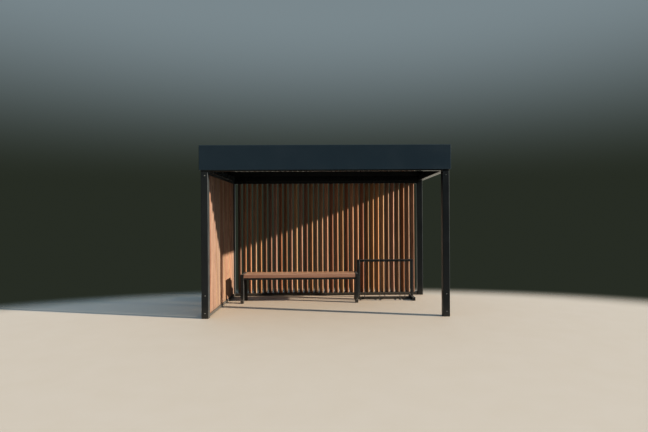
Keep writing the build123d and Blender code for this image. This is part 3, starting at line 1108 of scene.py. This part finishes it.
rack_bolts = bmesh.new()
post_low, post_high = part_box("rack_post_left")
post_middle = (post_low + post_high) / 2
for z in rack_bolt_heights:
    dome_bolt(rack_bolts, (post_high.x, post_middle.y, z), (1, 0, 0))
foot_low, foot_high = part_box("rack_foot")
foot_middle = (foot_low + foot_high) / 2
for y in (foot_low.y + foot_bolt_inset, foot_high.y - foot_bolt_inset):
    dome_bolt(rack_bolts, (foot_middle.x, y, foot_high.z), (0, 0, 1))
set_piece(rack_bolts, "rack_bolts", stainless_steel)

# Studio: a plain pale floor that fades into a plain surround, dark behind the shelter. The light
# is one low lamp from the right front, soft light from above and from the right, and a low soft
# box at the left front.
floor_radius = 14.0
floor_shift = (0.0, 2.6, 0.0)
floor_squeeze = (0.58, 1.0, 1.0)
floor_fade = (3.5, 4.6)
floor_colour = (0.495, 0.418, 0.328, 1)
floor_mottle = (0.515, 0.440, 0.355, 1)
light_below = (0.022, 0.024, 0.022, 1)
light_ground_behind = (0.52, 0.49, 0.42, 1)
light_low = (0.042, 0.056, 0.062, 1)
light_low_behind = (0.150, 0.165, 0.165, 1)
light_low_right = (0.60, 0.78, 0.87, 1)
light_low_left = (1.25, 1.24, 1.10, 1)
light_high = (0.36, 0.52, 0.72, 1)
ground_turn = (0.2, 0.8)
low_turn = (0.1, 0.7)
right_turn = (0.66, 0.98)
light_rise = (-0.05, 0.04)
light_change = (0.14, 0.62)
box_left = (-0.26, -0.06)
box_front = (-0.9, -0.6)
box_foot = (-0.09, -0.04)
box_top = (0.10, 0.17)
seen_around = (0.245, 0.245, 0.228, 1)
seen_low = (0.035, 0.041, 0.031, 1)
seen_high = (0.19, 0.225, 0.24, 1)
seen_change = (0.07, 0.42)
seen_turn = (0.15, 0.70)
key_direction = Vector((1.0, -0.24, 0.37))
key_colour = (1.0, 0.90, 0.78)
key_energy = 5.9
key_angle = math.radians(1.3)

floor_mesh = bmesh.new()
bmesh.ops.create_circle(floor_mesh, cap_ends=True, segments=128, radius=floor_radius)
mesh = bpy.data.meshes.new("floor")
floor_mesh.to_mesh(mesh)
floor_mesh.free()
floor_finish, tree, shader = new_material("floor_finish")
mottle = cloudy(tree, object_place(tree), 3, 4)
feed(tree, shader.inputs["Base Color"], tinted(tree, mottle, floor_colour, floor_mottle))
shader.inputs["Roughness"].default_value = 0.85
shader.inputs["Specular IOR Level"].default_value = 0.1
moved = vector_of(tree, "ADD", object_place(tree), floor_shift)
from_middle = vector_of(tree, "LENGTH", stretched(tree, moved, floor_squeeze))
feed(tree, shader.inputs["Alpha"], eased(tree, from_middle, *floor_fade, 1.0, 0.0))
mesh.materials.append(floor_finish)
floor = bpy.data.objects.new("floor", mesh)
bpy.context.scene.collection.objects.link(floor)

world = bpy.data.worlds.new("studio")
world.use_nodes = True
tree = world.node_tree
way = parts_of(tree, tree.nodes.new("ShaderNodeTexCoord").outputs["Generated"])
lit = tree.nodes["Background"]
ground = tinted(tree, eased(tree, way["Y"], *ground_turn), light_below, light_ground_behind)
horizon = tinted(tree, eased(tree, way["Y"], *low_turn), light_low, light_low_behind)
around = tinted(tree, eased(tree, way["Z"], *light_rise), ground, horizon)
around = tinted(tree, eased(tree, way["X"], *right_turn), around, light_low_right)
low_box = product(
    tree,
    eased(tree, way["X"], *box_left, 1.0, 0.0),
    eased(tree, way["Y"], *box_front, 1.0, 0.0),
    eased(tree, way["Z"], *box_foot),
    eased(tree, way["Z"], *box_top, 1.0, 0.0),
)
around = tinted(tree, low_box, around, light_low_left)
around = tinted(tree, eased(tree, way["Z"], *light_change), around, light_high)
feed(tree, lit.inputs["Color"], around)
seen = tree.nodes.new("ShaderNodeBackground")
backdrop = tinted(tree, eased(tree, way["Z"], *seen_change), seen_low, seen_high)
backdrop = tinted(tree, eased(tree, way["Y"], *seen_turn), seen_around, backdrop)
feed(tree, seen.inputs["Color"], backdrop)
choice = tree.nodes.new("ShaderNodeMixShader")
feed(tree, choice.inputs["Fac"], tree.nodes.new("ShaderNodeLightPath").outputs["Is Camera Ray"])
tree.links.new(lit.outputs["Background"], choice.inputs[1])
tree.links.new(seen.outputs["Background"], choice.inputs[2])
tree.links.new(choice.outputs["Shader"], tree.nodes["World Output"].inputs["Surface"])
bpy.context.scene.world = world

key_data = bpy.data.lights.new("key", "SUN")
key_data.energy = key_energy
key_data.angle = key_angle
key_data.color = key_colour
key = bpy.data.objects.new("key", key_data)
key.rotation_mode = "QUATERNION"
key.rotation_quaternion = key_direction.to_track_quat("Z", "Y")
bpy.context.scene.collection.objects.link(key)

bpy.context.scene.view_settings.view_transform = "Standard"
bpy.context.scene.view_settings.look = "High Contrast"
